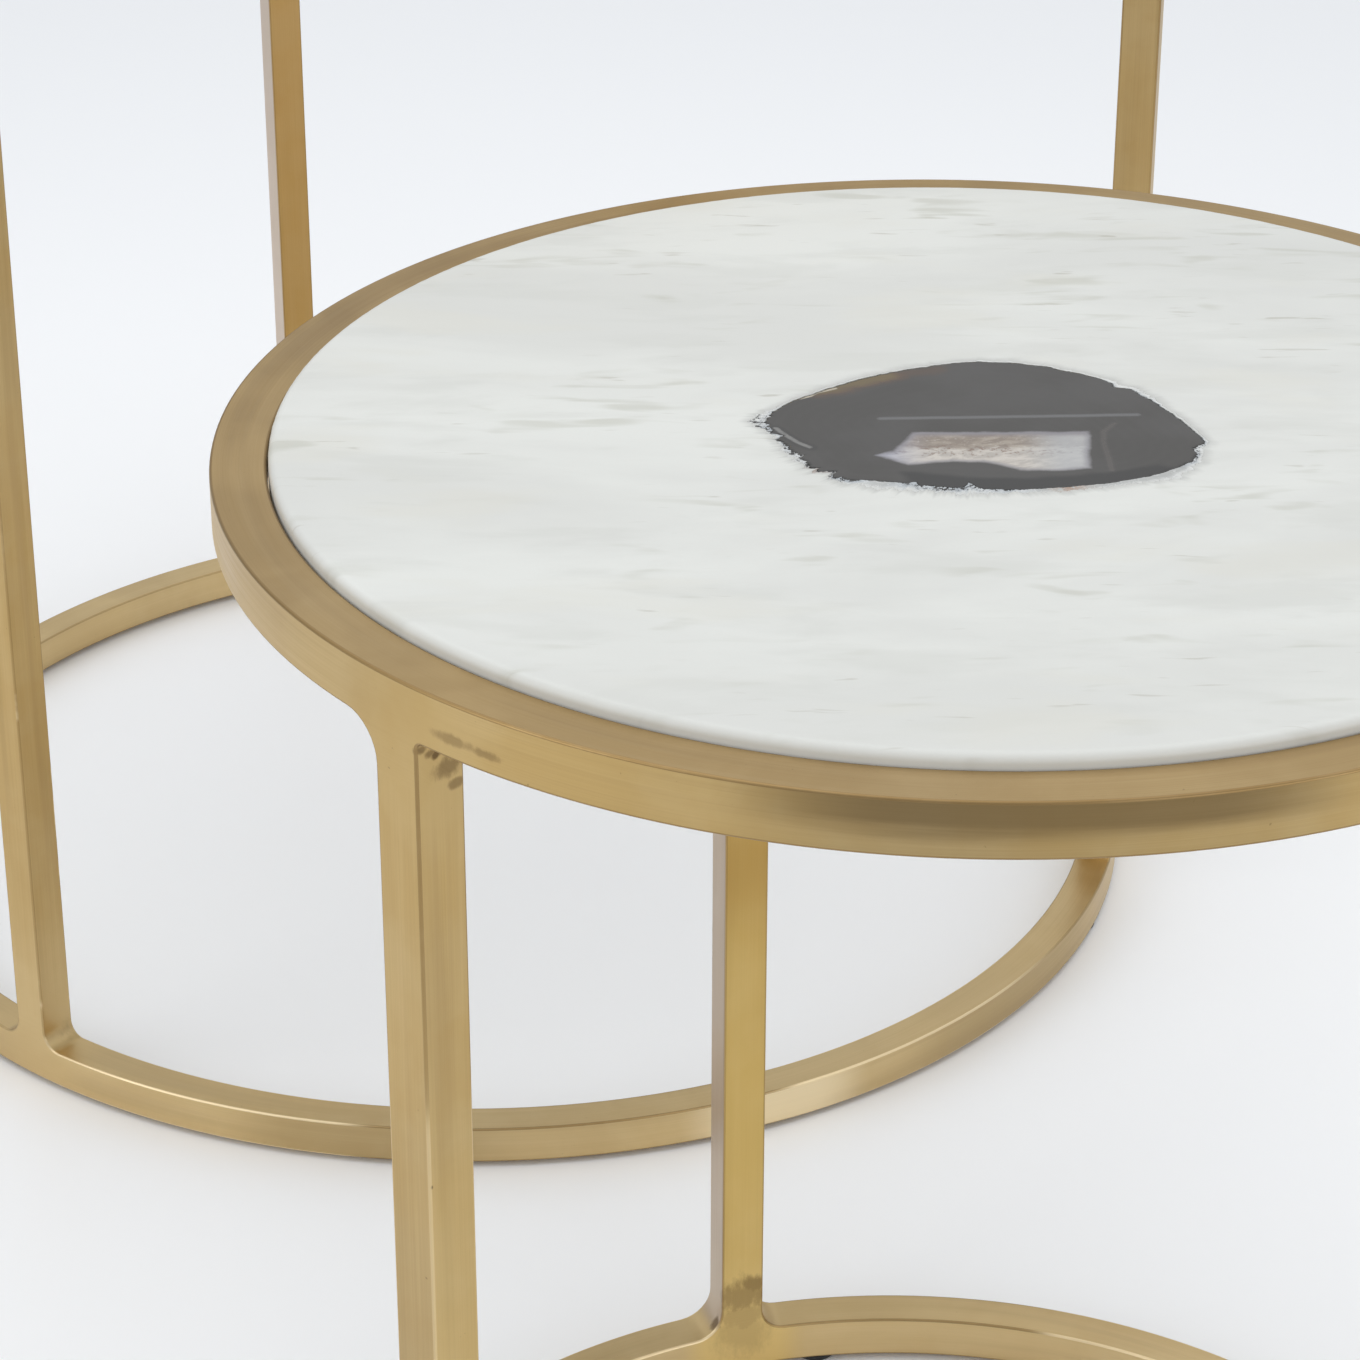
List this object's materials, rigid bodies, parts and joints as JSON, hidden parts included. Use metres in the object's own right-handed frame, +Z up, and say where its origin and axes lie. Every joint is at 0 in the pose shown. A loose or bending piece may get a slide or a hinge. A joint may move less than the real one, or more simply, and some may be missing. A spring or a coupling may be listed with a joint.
{
  "type": "nesting tables",
  "caption": "Low and tall round side tables with brushed brass tube frames and loose marble tops inlaid with agate; the low one tucks under the tall one.",
  "frame": {"origin": "on the floor, at the middle of the pair as it stands", "axes": "+Z up, +Y from the low table to the tall one"},
  "size_m": [0.55, 1.077, 0.5036],
  "materials": {
    "brushed_brass": "brushed satin brass, lacquered",
    "support_bar": "matt, sprayed with the frame",
    "white_marble": "honed white marble with faint grey streaks",
    "grey_agate": "polished dark grey agate with a quartz window",
    "cast_resin": "translucent casting resin with crystal crumbs",
    "clear_pad": "milky clear rubber",
    "black_glide": "matt black"
  },
  "bodies": {
    "large_frame": {"large_top_ring": "brushed_brass", "large_base_ring": "brushed_brass", "large_leg_1": "brushed_brass", "large_leg_2": "brushed_brass", "large_leg_3": "brushed_brass", "large_glide_1": "black_glide", "large_glide_2": "black_glide", "large_glide_3": "black_glide", "large_support_hub": "support_bar", "large_support_arm_1": "support_bar", "large_support_arm_2": "support_bar", "large_support_arm_3": "support_bar", "large_pad_inner_1": "clear_pad", "large_pad_inner_2": "clear_pad", "large_pad_inner_3": "clear_pad", "large_pad_outer_1": "clear_pad", "large_pad_outer_2": "clear_pad", "large_pad_outer_3": "clear_pad"},
    "large_top": {"large_stone_top": "white_marble", "large_resin_seam": "cast_resin", "large_agate_inlay": "grey_agate"},
    "small_frame": {"small_top_ring": "brushed_brass", "small_base_ring": "brushed_brass", "small_leg_1": "brushed_brass", "small_leg_2": "brushed_brass", "small_leg_3": "brushed_brass", "small_glide_1": "black_glide", "small_glide_2": "black_glide", "small_glide_3": "black_glide", "small_support_hub": "support_bar", "small_support_arm_1": "support_bar", "small_support_arm_2": "support_bar", "small_support_arm_3": "support_bar", "small_pad_inner_1": "clear_pad", "small_pad_inner_2": "clear_pad", "small_pad_inner_3": "clear_pad", "small_pad_outer_1": "clear_pad", "small_pad_outer_2": "clear_pad", "small_pad_outer_3": "clear_pad"},
    "small_top": {"small_stone_top": "white_marble", "small_resin_seam": "cast_resin", "small_agate_inlay": "grey_agate"}
  },
  "joints": [
    {"name": "low_table_slide", "type": "slide", "parent": "large_frame", "child": "small_frame", "axis": [0, 1, 0], "range_m": [-0.25, 0.122]},
    {"name": "low_table_top_lift", "type": "slide", "parent": "small_frame", "child": "small_top", "axis": [0, 0, 1], "range_m": [0, 0.05]},
    {"name": "tall_table_top_lift", "type": "slide", "parent": "large_frame", "child": "large_top", "axis": [0, 0, 1], "range_m": [0, 0.05]}
  ]
}
